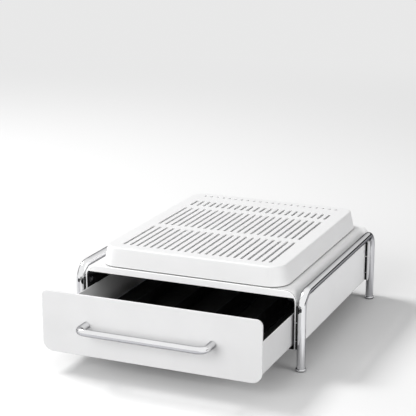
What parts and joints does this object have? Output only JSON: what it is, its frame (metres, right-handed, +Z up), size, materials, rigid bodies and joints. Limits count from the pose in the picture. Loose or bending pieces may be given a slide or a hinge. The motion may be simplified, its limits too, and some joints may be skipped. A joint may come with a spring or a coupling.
{
  "type": "coffee pod drawer",
  "caption": "Coffee pod storage stand: white folded cabinet on bent chrome tube legs, sliding pod drawer with a bar handle, and a slotted lift-off drain deck on top.",
  "frame": {"origin": "on the ground under the middle of the overall box, with the drawer drawn out as pictured", "axes": "+X to the right seen from the drawer's front, +Y from the drawer's front to the back, +Z up"},
  "size_m": [0.331, 0.481, 0.132],
  "materials": {
    "white_sheet": "satin powder coat on folded steel sheet",
    "black_sheet": "matt powder coat on folded steel sheet",
    "chrome": "bright plated steel",
    "white_plastic": "satin moulded",
    "dark_plastic": "satin moulded",
    "nylon": "natural, satin",
    "black_rubber": "matt",
    "screw_steel": "zinc plated"
  },
  "bodies": {
    "cabinet": {"cabinet_shell": "white_sheet", "rear_panel": "black_sheet", "rear_panel_screws": "screw_steel", "left_runner": "black_sheet", "right_runner": "black_sheet", "left_glide_strip": "nylon", "right_glide_strip": "nylon", "left_hold_down_rail": "black_sheet", "right_hold_down_rail": "black_sheet", "rail_rivets": "black_sheet", "left_runner_glide": "nylon", "right_runner_glide": "nylon", "left_frame_tube": "chrome", "right_frame_tube": "chrome", "left_frame_screws": "screw_steel", "right_frame_screws": "screw_steel", "vent_plugs": "dark_plastic", "foot_front_left": "chrome", "foot_front_right": "chrome", "foot_rear_left": "chrome", "foot_rear_right": "chrome", "foot_pad_front_left": "black_rubber", "foot_pad_front_right": "black_rubber", "foot_pad_rear_left": "black_rubber", "foot_pad_rear_right": "black_rubber"},
    "drawer": {"drawer_tray": "white_sheet", "tray_front_plate": "white_sheet", "tray_back_plate": "white_sheet", "drawer_front": "white_sheet", "front_screws": "screw_steel", "front_bumpers": "black_rubber", "handle": "chrome", "handle_screws": "screw_steel", "liner_mat": "black_rubber", "lane_divider_1": "black_sheet", "lane_divider_2": "black_sheet", "lane_divider_3": "black_sheet", "lane_divider_4": "black_sheet", "lane_rivets": "black_sheet", "left_drawer_glide": "nylon", "right_drawer_glide": "nylon"},
    "drip_pan": {"drip_pan": "dark_plastic", "drip_pan_rim": "dark_plastic"},
    "drain_deck": {"drain_deck": "white_plastic", "deck_pads": "black_rubber"}
  },
  "joints": [
    {"name": "drawer_slide", "type": "slide", "parent": "cabinet", "child": "drawer", "axis": [0, -1, 0], "range_m": [-0.1149, 0.115]},
    {"name": "pan_lift", "type": "slide", "parent": "cabinet", "child": "drip_pan", "axis": [0, 0, 1], "range_m": [0, 0.04]},
    {"name": "deck_lift", "type": "slide", "parent": "drip_pan", "child": "drain_deck", "axis": [0, 0, 1], "range_m": [0, 0.06]}
  ]
}
